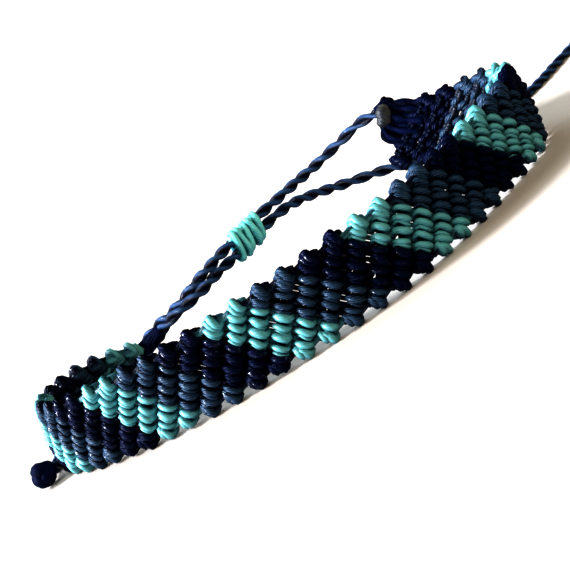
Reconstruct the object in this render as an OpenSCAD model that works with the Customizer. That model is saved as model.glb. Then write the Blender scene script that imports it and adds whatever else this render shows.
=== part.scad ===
// Knotted friendship bracelet: a band of slanted ribs that stands on its lower edge as an open loop,
// closed by two cords that run through one sliding knot. Millimetres, +Z up, outer face of the front to -Y.

/* [Band] */
// Width across the band, between the rib ends
band_w = 9.1; // [8:0.1:10]
// Thickness over the ridges of the ribs
band_t = 2.4; // [2:0.1:2.8]
// Depth of the grooves between the ribs, on each face
groove = 0.45; // [0.2:0.05:0.6]
// Step along the band from one rib to the next
rib_pitch = 3.1; // [2.95:0.05:3.2]
// Number of ribs that begin at the upper edge
edge_ribs = 42; // [40:1:43]
// How far along the band a rib's upper end lies past its lower end
rib_lean = 7; // [5:0.1:8.5]
// Number of knots along a rib
rib_knots = 5; // [4:1:6]
// How far the rib ends stand out of both edges
edge_scallop = 0.3; // [0.1:0.05:0.5]

/* [Band ends] */
// Diameter of the bundle into which the band's cords gather
gather_d = 2.2; // [1.8:0.1:3]
// Length of that bundle
gather_l = 2.8; // [2.4:0.1:3.6]

/* [Closure] */
// Outer diameter of a two-ply closing cord
cord_d = 1.3; // [1:0.1:1.5]
// Length of the sliding knot
knot_l = 5.8; // [4.5:0.1:7]
// Outer diameter of the sliding knot
knot_d = 4.4; // [4.1:0.1:5]
// Distance between the two cords inside the sliding knot
cord_gap = 1.7; // [1.6:0.05:1.9]
// Running clearance round a cord in its knot
cord_clear = 0.1; // [0.05:0.01:0.15]
// Diameter of the knot at the end of each cord
stopper_d = 3.5; // [2.4:0.1:3.6]
// Length of the knot at the end of each cord
stopper_l = 3.4; // [2.6:0.1:4]

/* [Hidden] */

// Columns of the loop's table, which follows the band from its near end round to its far end.
SHARE = 0; // share of the band's run
TURN = 1;  // turn to the left over that share, in degrees
LEAN = 2;  // outward lean of the upper edge where the stretch ends, in degrees
LIFT = 3;  // height of the lower edge there, as a share of the band's width
LOOP = [
    [0.013, 7, -50, 0.08],   // near end
    [0.070, 35, -27, 0.05],  // left turn, first part
    [0.101, 74, -10, 0.01],  // left turn, tight part
    [0.057, 18, -5, 0.01],   // left turn, last part
    [0.138, 25, -4, 0],      // front, left
    [0.135, 15, -4, 0],      // front, middle left
    [0.112, 35, -3, 0],      // front, middle right
    [0.112, 8, -5, 0.02],    // front, right
    [0.047, 17, 1, 0.02],    // right turn, first part
    [0.111, 77, 18, 0.09],   // right turn, tight part
    [0.057, 13, 26, 0.25],   // right turn, last part
    [0.047, 6, 28, 0.45],    // far end
];
NEAR_HEADING = -179;
NEAR_LEAN = -55;
NEAR_LIFT = 0.08;
BULGE = 0.46;          // share of a turn's curvature that the band also has across its width
TURN_BLEND = 0.015;    // share of the run over which curvature is averaged

// The rim of the band's section: place across the rib, and share of the full thickness there.
RIM = [[0, 0.4], [0.06, 0.85], [0.2, 1], [0.4, 1], [0.6, 1], [0.8, 1], [0.94, 0.85], [1, 0.4]];
RIB_STEPS = 4;         // stations along each rib pitch
ROUTE_STEPS = 184;     // steps along the loop's run

rib_total = edge_ribs + rib_knots - 1;
run = rib_total * rib_pitch - rib_lean;

function total(col, i) = i <= 0 ? 0 : total(col, i - 1) + LOOP[i - 1][col];
heading_at = [for (i = [0 : len(LOOP)]) [total(SHARE, i) * run, NEAR_HEADING + total(TURN, i)]];
lean_at = concat([[0, NEAR_LEAN]], [for (i = [0 : len(LOOP) - 1]) [heading_at[i + 1][0], LOOP[i][LEAN]]]);
lift_at = concat([[0, NEAR_LIFT * band_w]],
                 [for (i = [0 : len(LOOP) - 1]) [heading_at[i + 1][0], LOOP[i][LIFT] * band_w]]);

function heading(s) = lookup(s, heading_at);
function turn_rate(s) =
    let (d = TURN_BLEND * run) (heading(s + d) - heading(s - d)) * PI / 180 / (2 * d);
function outward(s) = [sin(heading(s)), -cos(heading(s)), 0];

// The loop's line on the floor, as the running sum of short steps.
step = run / ROUTE_STEPS;
route = [for (i = 0, p = [0, 0, 0]; i <= ROUTE_STEPS;
              p = p + step * [cos(heading((i + 0.5) * step)), sin(heading((i + 0.5) * step)), 0],
              i = i + 1) p];
function on_route(s) =
    let (i = max(0, min(ROUTE_STEPS - 1, floor(s / step))), t = s / step - i)
    route[i] * (1 - t) + route[i + 1] * t;

// A point of the band before it is centred: rib k from the near end, v from 0 at the lower edge to 1 at
// the upper, and o outward from the middle of the thickness.
function loose_point(k, v, o) =
    let (s = k * rib_pitch + (v - 1) * rib_lean,
         h = (v - 0.5) * band_w,
         lean = lookup(s, lean_at),
         q = o - BULGE * turn_rate(s) * h * h / 2)
    on_route(s) + outward(s) * (h * sin(lean) + q * cos(lean))
        + [0, 0, lookup(s, lift_at) + (band_w / 2 + h) * cos(lean) - q * sin(lean)];

// The ribs are cut short at both ends of the band, one knot less for each rib.
function rib_low(k) = max(0, min(1 - 1 / rib_knots, (rib_knots - 0.5 - k) / rib_knots));
function rib_high(k) = max(1 / rib_knots, min(1, (rib_total + 0.5 - k) / rib_knots));
function valley(k) = pow((1 + cos(360 * k)) / 2, 2);
function half_t(k) = band_t / 2 - groove * valley(k);
function reach(k) = edge_scallop * (1 - cos(360 * k)) / 2 / band_w;

function across(k, t) =
    let (low = rib_low(k) - reach(k), high = rib_high(k) + reach(k)) low + t * (high - low);
ring_n = 2 * len(RIM);
stations = rib_total * RIB_STEPS;
function ring(k) = concat(
    [for (r = RIM) loose_point(k, across(k, r[0]), r[1] * half_t(k))],
    [for (i = [len(RIM) - 1 : -1 : 0]) loose_point(k, across(k, RIM[i][0]), -RIM[i][1] * half_t(k))]);
loose_band = [for (j = [0 : stations]) each ring(j / RIB_STEPS)];

function span(axis) = let (c = [for (p = loose_band) p[axis]]) [min(c), max(c)];
centre = [(span(0)[0] + span(0)[1]) / 2, (span(1)[0] + span(1)[1]) / 2, span(2)[0]];
function band_point(k, v, o) = loose_point(k, v, o) - centre;

side_faces = [for (j = [0 : stations - 1]) for (i = [0 : ring_n - 1])
    let (a = j * ring_n + i, b = j * ring_n + (i + 1) % ring_n, c = b + ring_n, d = a + ring_n)
    each [[a, b, c], [a, c, d]]];
function cap(first) = [for (i = [0 : len(RIM) - 2])
    let (a = first + i, b = first + i + 1, c = first + ring_n - 2 - i, d = first + ring_n - 1 - i)
    each [[a, c, b], [a, d, c]]];
function flipped(faces) = [for (f = faces) [f[0], f[2], f[1]]];

// The two closing cords, each from its end of the band through the sliding knot to its own end knot.
KNOT_AT = [-1.4, 18.6, 9.1];
KNOT_ALONG = [0.86, 0.5, 0.08];
ABOVE = [0, 0, cord_gap / 2];
FAR_ROUTE = [
    [21, 23.4, 12.2], [18.4, 24.5, 11.6], [15.6, 25.1, 11.1], [12.7, 25.1, 10.7], [9.8, 24.5, 10.5],
    [7, 23.3, 10.4], [4.6, 22, 10.3]];
FAR_TAIL = [
    [-7.7, 15.1, 9.2], [-10.6, 14.5, 8.6], [-13.5, 14.6, 7.7], [-16.2, 15.7, 6.9], [-18.7, 17.3, 6.4],
    [-21.3, 18.4, 5.5], [-23.9, 19.6, 4.4], [-26.5, 20.8, 3.1], [-29.3, 21.8, 2], [-32.3, 22.2, 1.2],
    [-34.9, 21.3, 0.7], [-37.2, 19.4, 0.65], [-38.7, 16.7, 0.65], [-39.3, 13.6, 0.65], [-39.5, 10.4, 0.65],
    [-39.5, 7.4, 0.9], [-39.6, 4.7, 1.5]];
NEAR_ROUTE = [[-16, 13, 6.8], [-13.2, 13, 7.1], [-10.4, 13.6, 7.4], [-7.6, 15, 7.8]];
NEAR_TAIL = [
    [4.6, 22.1, 8.6], [7.3, 23.7, 8.2], [10.1, 25, 7.4], [12.9, 25.9, 6.4], [15.9, 26.5, 5.4],
    [19, 26.7, 4.5], [22.2, 26.5, 3.5], [25.3, 26.1, 2.4], [28.4, 25.7, 1.4], [31.5, 25.4, 0.8],
    [34.6, 25.2, 0.65], [37.8, 25.2, 0.65], [41, 25.5, 0.65], [44, 26.3, 0.65], [46.8, 27.8, 0.65],
    [49.4, 29.7, 0.65], [52, 31.9, 0.65], [54.6, 34.2, 0.65], [57.6, 36.5, 0.65], [60.5, 38.8, 0.9],
    [63.2, 40.9, 1.57]];

function unit(v) = v / norm(v);
function level(v, d) = unit(v - (v * d) * d);
function mix(a, b, t) = a * (1 - t) + b * t;
function through_knot(side) =
    [for (t = [-1, 0, 1]) KNOT_AT + side * ABOVE + t * (knot_l / 2 + 1) * unit(KNOT_ALONG)];
function back(list) = [for (i = [len(list) - 1 : -1 : 0]) list[i]];

// The cut ends of the band, and the round bundles into which their cords gather.
SEAT = 0.26;           // how far a bundle stays off the cut, in ribs
FULLNESS = 0.55;       // how far its lower side swells, as a share of its diameter
BUNDLE_STEPS = 4;
BUNDLE_SIDES = 12;
function far_seat(v, o) = band_point(rib_total + 0.5 + SEAT - rib_knots * v, v, o);
function near_seat(v, o) = band_point(rib_knots - 0.5 - 1.3 * SEAT - rib_knots * v, v, -o);
far_tie = band_point(rib_total - 2.9, 1.01, 0);
near_tie = band_point(-0.75, 0.87, 0);
far_axis = unit(FAR_ROUTE[0] - far_tie);
near_axis = unit(NEAR_ROUTE[0] - near_tie);
far_exit = far_tie + far_axis * gather_l / 2;
near_exit = near_tie + near_axis * gather_l / 2;
far_line = concat([far_exit], FAR_ROUTE, back(through_knot(1)), FAR_TAIL);
near_line = concat([near_exit], NEAR_ROUTE, through_knot(-1), NEAR_TAIL);

// Place across the band, and share of the bundle's thickness, round a seat from v = low to v = high.
function seat_ring(low, high) = [for (i = [0 : BUNDLE_SIDES - 1])
    let (a = i * 360 / BUNDLE_SIDES) [(low + high) / 2 + (high - low) / 2 * cos(a), band_t * 0.33 * sin(a)]];
function oval(c, a, b) =
    [for (i = [0 : BUNDLE_SIDES - 1]) c + a * cos(i * 360 / BUNDLE_SIDES) + b * sin(i * 360 / BUNDLE_SIDES)];
function bundle_points(seat, tie, axis, away) =
    let (up = level(seat[0] - seat[BUNDLE_SIDES / 2], axis),
         side = cross(axis, up),
         bundle = oval(tie, up * gather_d / 2, side * gather_d / 2),
         end = oval(tie + axis * gather_l / 2, up * cord_d * 0.6, side * cord_d * 0.6))
    concat([for (j = [0 : BUNDLE_STEPS]) for (i = [0 : BUNDLE_SIDES - 1])
               let (t = j / BUNDLE_STEPS, low = (1 - cos(i * 360 / BUNDLE_SIDES)) / 2)
               mix(seat[i], bundle[i], t) + away * FULLNESS * gather_d * low * sin(180 * t)],
           end);

// Faces of a tube whose rings have n points each.
function wall(rings, n) = [for (j = [0 : rings - 2]) for (i = [0 : n - 1])
    let (a = j * n + i, b = j * n + (i + 1) % n) each [[a, b + n, b], [a, a + n, b + n]]];
function disc(first, n) = [for (i = [1 : n - 2]) [first, first + i, first + i + 1]];
function tube_faces(rings, n) = concat(wall(rings, n), disc(0, n), flipped(disc((rings - 1) * n, n)));

// A round tube along a line of points; its ring of sides is carried from point to point without twist.
CORD_SIDES = 8;
function along(line, i) = unit(line[min(i + 1, len(line) - 1)] - line[max(i - 1, 0)]);
function carried(line) =
    [for (i = 0, u = level([0.2, 0.1, 1], along(line, 0)); i < len(line);
          u = level(u, along(line, i + 1)), i = i + 1) u];
module cord(line, d) {
    sides = carried(line);
    points = [for (i = [0 : len(line) - 1]) for (j = [0 : CORD_SIDES - 1])
        let (u = sides[i], w = cross(along(line, i), u), a = j * 360 / CORD_SIDES)
        line[i] + d / 2 * (u * cos(a) + w * sin(a))];
    polyhedron(points = points, faces = tube_faces(len(line), CORD_SIDES));
}

// Points +Z of what follows along d, with its +Y side kept upward, and moves it to p.
module aim(p, d) {
    translate(p)
        rotate([0, 90 - atan2(d[2], norm([d[0], d[1]])), atan2(d[1], d[0])])
            rotate([0, 0, 90]) children();
}

module band() {
    color("darkslateblue")
        polyhedron(points = [for (p = loose_band) p - centre],
                   faces = concat(side_faces, cap(0), flipped(cap(stations * ring_n))));
}

module bundle(seat, tie, axis, away) {
    polyhedron(points = bundle_points(seat, tie, axis, away),
               faces = tube_faces(BUNDLE_STEPS + 2, BUNDLE_SIDES));
}

module gather_far() {
    color("midnightblue")
        bundle([for (p = seat_ring(0.3, 0.88)) far_seat(p[0], p[1])], far_tie, far_axis,
               unit(band_point(rib_total + 1, 0.5, 0) - band_point(rib_total, 0.5, 0)));
}

module gather_near() {
    color("midnightblue")
        bundle([for (p = seat_ring(0.08, 0.7)) near_seat(p[0], p[1])], near_tie, near_axis,
               unit(band_point(-1, 0.5, 0) - band_point(0, 0.5, 0)));
}

module cord_far() {
    color("navy") cord(far_line, cord_d);
}

module cord_near() {
    color("navy") cord(near_line, cord_d);
}

// The sliding knot: three wraps drawn round both cords, with a bore for each.
KNOT_RIM = [[0.72, -0.5], [0.9, -0.46], [1, -0.34], [0.92, -0.17], [1, 0], [0.92, 0.17], [1, 0.34],
            [0.9, 0.46], [0.72, 0.5]];
module sliding_knot() {
    lobe = (knot_d - cord_gap) / 2;
    rim = concat([[0, -knot_l / 2]], [for (p = KNOT_RIM) [p[0] * lobe, p[1] * knot_l]],
                 [[0, knot_l / 2]]);
    color("mediumturquoise") aim(KNOT_AT, KNOT_ALONG) difference() {
        union() {
            for (side = [-1, 1])
                translate([0, side * cord_gap / 2, 0]) rotate_extrude($fn = 48) polygon(rim);
            rotate([90, 0, 0])
                linear_extrude(height = cord_gap, center = true)
                    polygon(concat(rim, [for (i = [len(rim) - 2 : -1 : 1]) [-rim[i][0], rim[i][1]]]));
        }
        for (side = [-1, 1])
            translate([0, side * cord_gap / 2, -knot_l])
                cylinder(h = 2 * knot_l, d = cord_d + 2 * cord_clear, $fn = 48);
    }
}

// An end knot, with the cord's end on one flat face.
STOP_RIM = [[0.5, 0], [0.86, 0.12], [1, 0.36], [0.94, 0.62], [0.72, 0.88], [0.4, 1]];
module stopper(line) {
    n = len(line);
    aim(line[n - 1], line[n - 1] - line[n - 2])
        rotate_extrude($fn = 48)
            polygon(concat([[0, 0]], [for (p = STOP_RIM) [p[0] * stopper_d / 2, p[1] * stopper_l]],
                           [[0, stopper_l]]));
}

module stopper_far() {
    color("midnightblue") stopper(far_line);
}

module stopper_near() {
    color("midnightblue") stopper(near_line);
}

band();
gather_far();
gather_near();
cord_far();
cord_near();
sliding_knot();
stopper_far();
stopper_near();
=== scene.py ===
"""A friendship bracelet: a band of slanted knotted ribs, closed by two cords that share one sliding knot.

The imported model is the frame. Every piece is worked out in its coordinates, in metres, with numpy arrays,
and takes the place of the node that it dresses.
"""
import logging
import math
from dataclasses import dataclass, field
from enum import Enum
from functools import cached_property

import bpy
import numpy as np
from bpy.types import Material, Node, NodeSocket, NodeTree, Object
from mathutils import Matrix, Vector


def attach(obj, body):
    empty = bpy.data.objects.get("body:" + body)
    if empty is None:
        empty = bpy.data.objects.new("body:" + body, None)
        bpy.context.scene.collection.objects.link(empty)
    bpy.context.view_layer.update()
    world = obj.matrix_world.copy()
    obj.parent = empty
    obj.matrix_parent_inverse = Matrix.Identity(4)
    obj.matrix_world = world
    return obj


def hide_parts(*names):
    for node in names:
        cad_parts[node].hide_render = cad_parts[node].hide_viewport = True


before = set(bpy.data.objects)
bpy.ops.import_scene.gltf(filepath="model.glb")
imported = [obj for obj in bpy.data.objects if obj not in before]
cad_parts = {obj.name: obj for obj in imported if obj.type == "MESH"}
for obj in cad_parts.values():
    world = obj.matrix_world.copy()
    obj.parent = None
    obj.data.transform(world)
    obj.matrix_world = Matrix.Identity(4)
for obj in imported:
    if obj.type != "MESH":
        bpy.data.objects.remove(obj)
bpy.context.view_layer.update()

Array = np.ndarray
Triple = tuple[float, float, float]
Rows = tuple[tuple[float, ...], ...]
MM = 0.001
ROUND = 2 * math.pi
UP = np.array([0, 0, 1.0])
log = logging.getLogger("bracelet")


# Vectors
def unit(v: Array) -> Array:
    """Vectors of length one along the last axis: each vector divided by its own length.

    Args:
        v: Vectors in the last axis.

    Returns:
        The unit vectors.
    """
    return v / np.maximum(np.linalg.norm(v, axis=-1, keepdims=True), 1e-12)


def dot(a: Array, b: Array) -> Array:
    """Dot products along the last axis, kept as an axis of one: the sums of the products.

    Args:
        a: Vectors in the last axis.
        b: Vectors in the last axis.

    Returns:
        The dot products, (..., 1).
    """
    return np.sum(a * b, axis=-1, keepdims=True)


def smooth_line(points: Array, count: int) -> Array:
    """A smooth curve through points, at even steps of its length.

    Formula: between two neighbours p1 and p2 the curve is the cubic whose slope at each is half the step
    between that point's own two neighbours. It is sampled finely, and then read at even arc length.

    Args:
        points: Points to pass through, (n, 3).
        count: Number of points in the result.

    Returns:
        The curve's points, (count, 3).
    """
    p = np.vstack([2 * points[0] - points[1], points, 2 * points[-1] - points[-2]])
    n = len(points) - 1
    samples = 24
    t = np.linspace(0, n, n * samples + 1)
    i = np.minimum(t.astype(int), n - 1)
    f = (t - i)[:, None]
    a, b, c, d = p[i], p[i + 1], p[i + 2], p[i + 3]
    fine = 0.5 * (2 * b + (c - a) * f + (2 * a - 5 * b + 4 * c - d) * f ** 2
                  + (3 * b - a - 3 * c + d) * f ** 3)
    gone = np.concatenate([[0], np.cumsum(np.linalg.norm(np.diff(fine, axis=0), axis=1))])
    even = np.linspace(0, gone[-1], count)
    return np.stack([np.interp(even, gone, fine[:, axis]) for axis in range(3)], axis=1)


def tangents(path: Array, closed: bool) -> Array:
    """Unit tangents of lines: the step from each point's neighbour before it to the one after it.

    Args:
        path: Lines of points, (..., stations, 3).
        closed: Whether each line joins its own start.

    Returns:
        Tangents in the same shape.
    """
    if closed:
        return unit(np.roll(path, -1, axis=-2) - np.roll(path, 1, axis=-2))
    return unit(np.gradient(path, axis=-2))


# Surfaces
@dataclass
class Surface:
    """A mesh being put together: its points, its faces of three or four corners, and its thread map."""

    points: Array = field(default_factory=lambda: np.zeros((0, 3)))
    quads: Array = field(default_factory=lambda: np.zeros((0, 4), int))
    tris: Array = field(default_factory=lambda: np.zeros((0, 3), int))
    quad_map: Array = field(default_factory=lambda: np.zeros((0, 4, 2)))
    tri_map: Array = field(default_factory=lambda: np.zeros((0, 3, 2)))

    def add(self, other: "Surface") -> "Surface":
        """Adds another surface's points and faces to this one.

        Args:
            other: The surface to take in.

        Returns:
            This surface.
        """
        shift = len(self.points)
        self.points = np.vstack([self.points, other.points])
        self.quads = np.vstack([self.quads, other.quads + shift])
        self.tris = np.vstack([self.tris, other.tris + shift])
        self.quad_map = np.concatenate([self.quad_map, other.quad_map])
        self.tri_map = np.concatenate([self.tri_map, other.tri_map])
        return self

    def piece(self, name: str, material: Material) -> Object:
        """Makes the Blender object, smooth, at the origin, with its thread map as a UV map.

        Args:
            name: The object's name.
            material: Its finish.

        Returns:
            The new object.
        """
        mesh = bpy.data.meshes.new(name)
        mesh.from_pydata(self.points.tolist(), [], self.quads.tolist() + self.tris.tolist())
        layer = mesh.uv_layers.new(name="thread")
        flat = np.concatenate([self.quad_map.reshape(-1), self.tri_map.reshape(-1)])
        layer.data.foreach_set("uv", flat.astype(np.float32))
        mesh.polygons.foreach_set("use_smooth", np.ones(len(mesh.polygons), bool))
        mesh.materials.append(material)
        mesh.validate()
        mesh.update()
        obj = bpy.data.objects.new(name, mesh)
        bpy.context.scene.collection.objects.link(obj)
        return obj


def swept(path: Array, normal: Array, radius: Array, sides: int, closed: bool = False,
          first: float = 0.0) -> Surface:
    """Tubes carried along lines.

    Formula: at each station the section is path + r1 * cos(turn) * n + r2 * sin(turn) * m, where n is the
    given normal made square to the tangent t, m = t x n, and turn goes once round. An open tube gets
    a pole half a radius past each end. The thread map holds the distance along the tube in millimetres and
    the share of the way round.

    Args:
        path: Lines of points, (tubes, stations, 3).
        normal: A vector at each point that isn't along the line, in the same shape.
        radius: Radii along n and along m, (tubes, stations, 2).
        sides: Corners of the section.
        closed: Whether each tube joins its own start.
        first: Angle of the section's first corner.

    Returns:
        All tubes as one surface.
    """
    tubes, stations = path.shape[:2]
    t = tangents(path, closed)
    n = unit(normal - dot(normal, t) * t)
    m = np.cross(t, n)
    turn = first + np.linspace(0, ROUND, sides, endpoint=False)
    ring = (path[:, :, None] + (radius[..., :1] * np.cos(turn))[..., None] * n[:, :, None]
            + (radius[..., 1:] * np.sin(turn))[..., None] * m[:, :, None])
    whole = np.concatenate([path, path[:, :1]], axis=1) if closed else path
    step = np.linalg.norm(np.diff(whole, axis=1), axis=-1) / MM
    gone = np.concatenate([np.zeros((tubes, 1)), np.cumsum(step, axis=1)], axis=1)

    tube, j, i = np.meshgrid(np.arange(tubes), np.arange(step.shape[1]), np.arange(sides), indexing="ij")
    corners = ((0, 0), (0, 1), (1, 1), (1, 0))
    quads = np.stack([(tube * stations + (j + a) % stations) * sides + (i + b) % sides
                      for a, b in corners], axis=-1).reshape(-1, 4)
    quad_map = np.stack([np.stack([gone[tube, j + a], (i + b) / sides], -1)
                         for a, b in corners], axis=-2).reshape(-1, 4, 2)
    surface = Surface(ring.reshape(-1, 3), quads, quad_map=quad_map)
    if closed:
        return surface

    size = radius.mean(axis=-1)[..., None] * 0.5
    poles = np.concatenate([path[:, 0] - t[:, 0] * size[:, 0], path[:, -1] + t[:, -1] * size[:, -1]])
    base = len(surface.points)
    k, i = np.meshgrid(np.arange(tubes), np.arange(sides), indexing="ij")
    head, tail = k * stations * sides, (k * stations + stations - 1) * sides
    start = np.stack([base + k, head + (i + 1) % sides, head + i], axis=-1).reshape(-1, 3)
    end = np.stack([base + tubes + k, tail + i, tail + (i + 1) % sides], axis=-1).reshape(-1, 3)
    share = np.stack([(i + 0.5) / sides, (i + 1) / sides, i / sides], axis=-1).reshape(-1, 3)
    whole_way = np.broadcast_to(gone[:, -1:, None], (tubes, sides, 3)).reshape(-1, 3)
    surface.points = np.vstack([surface.points, poles])
    surface.tris = np.vstack([start, end])
    surface.tri_map = np.concatenate([np.stack([np.zeros_like(share), share], -1),
                                      np.stack([whole_way, share[:, [0, 2, 1]]], -1)])
    return surface


def single(path: Array, normal: Array, radius: float | Array, sides: int,
           closed: bool = False) -> Surface:
    """One tube along one line, of one radius or of a radius for each station.

    Args:
        path: The line's points, (stations, 3).
        normal: A vector that isn't along the line, (3,) or (stations, 3).
        radius: Radius, or radii along the line.
        sides: Corners of the section.
        closed: Whether the tube joins its own start.

    Returns:
        The tube.
    """
    both = np.broadcast_to(np.reshape(radius, (-1, 1)), (len(path), 2))
    return swept(path[None], np.broadcast_to(normal, path.shape)[None], both[None], sides, closed)


# Finishes
def fill(node: Node, inputs: dict[int | str, object]) -> Node:
    """Sets a node's inputs: a socket is linked to the input, and any other value is put there.

    Args:
        node: The node.
        inputs: Sockets and values by the input's number or name.

    Returns:
        The node.
    """
    for key, value in inputs.items():
        if isinstance(value, NodeSocket):
            node.id_data.links.new(value, node.inputs[key])
        else:
            node.inputs[key].default_value = value
    return node


def add_node(tree: NodeTree, kind: str, inputs: dict[int | str, object], **properties) -> Node:
    """Adds one node and sets its properties and inputs.

    Args:
        tree: The node tree.
        kind: The node's type, without its common first part.
        inputs: Sockets and values by the input's number or name.
        **properties: The node's properties by name.

    Returns:
        The new node.
    """
    node = tree.nodes.new("ShaderNode" + kind)
    for name, value in properties.items():
        setattr(node, name, value)
    return fill(node, inputs)


def sums(tree: NodeTree, operation: str, *terms: NodeSocket | float) -> NodeSocket:
    """Adds a Math node on values and sockets.

    Args:
        tree: The node tree.
        operation: The Math node's operation.
        *terms: Its inputs, in order.

    Returns:
        Its output.
    """
    return add_node(tree, "Math", dict(enumerate(terms)), operation=operation).outputs[0]


@dataclass
class Effects:
    """The shared node groups, each built on its first use."""

    fibres: float = 8.0
    bend: float = 0.16
    coarse: float = 900.0
    fine: float = 5200.0
    fuzz: float = 0.4
    patches: float = 1500.0
    cover: float = 0.45
    wax_edge: float = 9.0
    worn_over: float = 0.03
    worn_to: float = 0.1

    @staticmethod
    def blank(name: str, inputs: tuple[str, ...], outputs: tuple[str, ...]) -> tuple[Node, Node, NodeSocket]:
        """Starts a group with named sockets and the place on the object.

        Args:
            name: The group's name.
            inputs: Names of the inputs.
            outputs: Names of the outputs.

        Returns:
            The group's input node, its output node and the place.
        """
        tree = bpy.data.node_groups.new(name, "ShaderNodeTree")
        for in_out, sockets in (("INPUT", inputs), ("OUTPUT", outputs)):
            for socket in sockets:
                tree.interface.new_socket(socket, in_out=in_out, socket_type="NodeSocketFloat")
        place = add_node(tree, "TexCoord", {}).outputs["Object"]
        return tree.nodes.new("NodeGroupInput"), tree.nodes.new("NodeGroupOutput"), place

    @cached_property
    def twist(self) -> NodeTree:
        """Fibres that wind round a thread, and a painted shade, as a group with Fibre, Patch and the shade
        mask from 0 to 1.

        Formula: turns = share round + distance along * Lay. Fine fibres are sines of whole multiples of it,
        bent a little by noise, so that they join up all the way round. The painted shade mask is the cosine
        of the way round from Outward, and no less than 0, so it is 1 on the thread's outer side and 0 where
        it meets others.
        """
        given, out, place = self.blank("thread_twist", ("Lay", "Outward"), ("Fibre", "Patch", "Side"))
        tree = out.id_data
        thread = add_node(tree, "UVMap", {}, uv_map="thread").outputs[0]
        along, share, _ = add_node(tree, "SeparateXYZ", {0: thread}).outputs
        coarse = add_node(tree, "TexNoise", {0: place, 2: self.coarse, 3: 2.0}).outputs[0]
        fine = add_node(tree, "TexNoise", {0: place, 2: self.fine, 3: 3.0}).outputs[0]
        turns = sums(tree, "ADD", share, sums(tree, "MULTIPLY", along, given.outputs["Lay"]))
        bent = sums(tree, "ADD", turns, sums(tree, "MULTIPLY", coarse, self.bend))
        around = sums(tree, "MULTIPLY", sums(tree, "MULTIPLY", bent, self.fibres), ROUND)
        wave = sums(tree, "MULTIPLY_ADD", sums(tree, "SINE", around), 0.5, 0.5)
        fibre = sums(tree, "ADD", sums(tree, "MULTIPLY", wave, 1 - self.fuzz),
                     sums(tree, "MULTIPLY", fine, self.fuzz))
        # Painted shade: lightest on the thread's outer side, dark where the thread turns in between other
        # threads.
        turned = sums(tree, "SUBTRACT", share, given.outputs["Outward"])
        painted_shade = sums(tree, "COSINE", sums(tree, "MULTIPLY", turned, ROUND))
        fill(out, {"Side": sums(tree, "MAXIMUM", painted_shade, 0.0), "Fibre": fibre, "Patch": coarse})
        return tree

    @cached_property
    def wax(self) -> NodeTree:
        """Wax that lies on the thread in small shiny patches, as a group with Film from 0 to 1.

        Formula: noise, kept where it passes 1 - cover, with a soft edge, and worn down evenly from the middle
        of the bracelet, x = 0, to a tenth at worn_over along its far half.
        """
        _, out, place = self.blank("wax_bloom", (), ("Film",))
        tree = out.id_data
        noise = add_node(tree, "TexNoise", {0: place, 2: self.patches, 3: 4.0}).outputs[0]
        over = sums(tree, "SUBTRACT", noise, 1 - self.cover)
        film = sums(tree, "MULTIPLY", over, self.wax_edge)
        film.node.use_clamp = True
        x = add_node(tree, "SeparateXYZ", {0: place}).outputs[0]
        worn = add_node(tree, "MapRange", {0: x, 1: 0.0, 2: self.worn_over, 3: 1.0, 4: self.worn_to})
        fill(out, {"Film": sums(tree, "MULTIPLY", film, worn.outputs[0])})
        return tree


@dataclass(frozen=True)
class ThreadFinish:
    """The finish of one colour of waxed thread: its deep and lit tones, which fibres and random patches mix
    and a painted shade sets lighter on each thread's outer side, its sheen and its fibres' relief.
    """

    name: str
    deep: Triple
    lit: Triple
    rough: float
    waxed_rough: float
    specular: float
    coat: float
    lay: float = 0.22
    relief: float = 0.00006
    grain: float = 0.4
    # Share round the thread at which the painted shade is lightest.
    outward: float = 0.5
    span: tuple[float, float] = (0.3, 0.85)
    tint: Triple = (1.0, 1.0, 1.0)
    # Strength of the painted shade that lightens each thread's outer side.
    painted_shade: float = 0.5
    uneven: float = 0.7
    coat_rough: float = 0.22
    coat_ior: float = 1.75
    bump: float = 0.9

    def material(self, effects: Effects) -> Material:
        """Builds the material: two tones mixed along the fibres and in random patches, with a painted shade
        that keeps each thread dark where it meets others, wax film in the roughness, fine relief.

        Args:
            effects: The shared groups.

        Returns:
            The material.
        """
        material = bpy.data.materials.new(self.name)
        material.use_nodes = True
        tree = material.node_tree
        twist = {"Lay": self.lay, "Outward": self.outward}
        fibre, patch, side = add_node(tree, "Group", twist, node_tree=effects.twist).outputs
        film = add_node(tree, "Group", {}, node_tree=effects.wax).outputs[0]
        grain = sums(tree, "ADD", sums(tree, "MULTIPLY", fibre, self.grain),
                     sums(tree, "MULTIPLY", patch, self.uneven - self.grain))
        # Painted shade: the mask is added to the tone, so each thread's outer side takes the lit tone and the
        # side where it meets others the deep one.
        tone = sums(tree, "ADD", grain, sums(tree, "MULTIPLY", side, self.painted_shade))
        ramp = add_node(tree, "ValToRGB", {0: tone})
        for stop, position, colour in zip(ramp.color_ramp.elements, self.span, (self.deep, self.lit)):
            stop.position = position
            stop.color = (*colour, 1)
        fill(tree.nodes["Principled BSDF"], {
            "Base Color": ramp.outputs[0],
            "Roughness": add_node(tree, "MapRange", {0: film, 3: self.rough, 4: self.waxed_rough}).outputs[0],
            "Normal": add_node(tree, "Bump", {0: self.bump, 1: self.relief, "Height": fibre}).outputs[0],
            "Coat Weight": sums(tree, "MULTIPLY", film, self.coat),
            "Specular IOR Level": self.specular,
            "Specular Tint": (*self.tint, 1),
            "Coat Roughness": self.coat_rough,
            "Coat IOR": self.coat_ior})
        return material


class Colour(Enum):
    """The colours of the band's cords."""

    TURQUOISE = "T"
    DARK_NAVY = "K"
    SLATE = "D"


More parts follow.
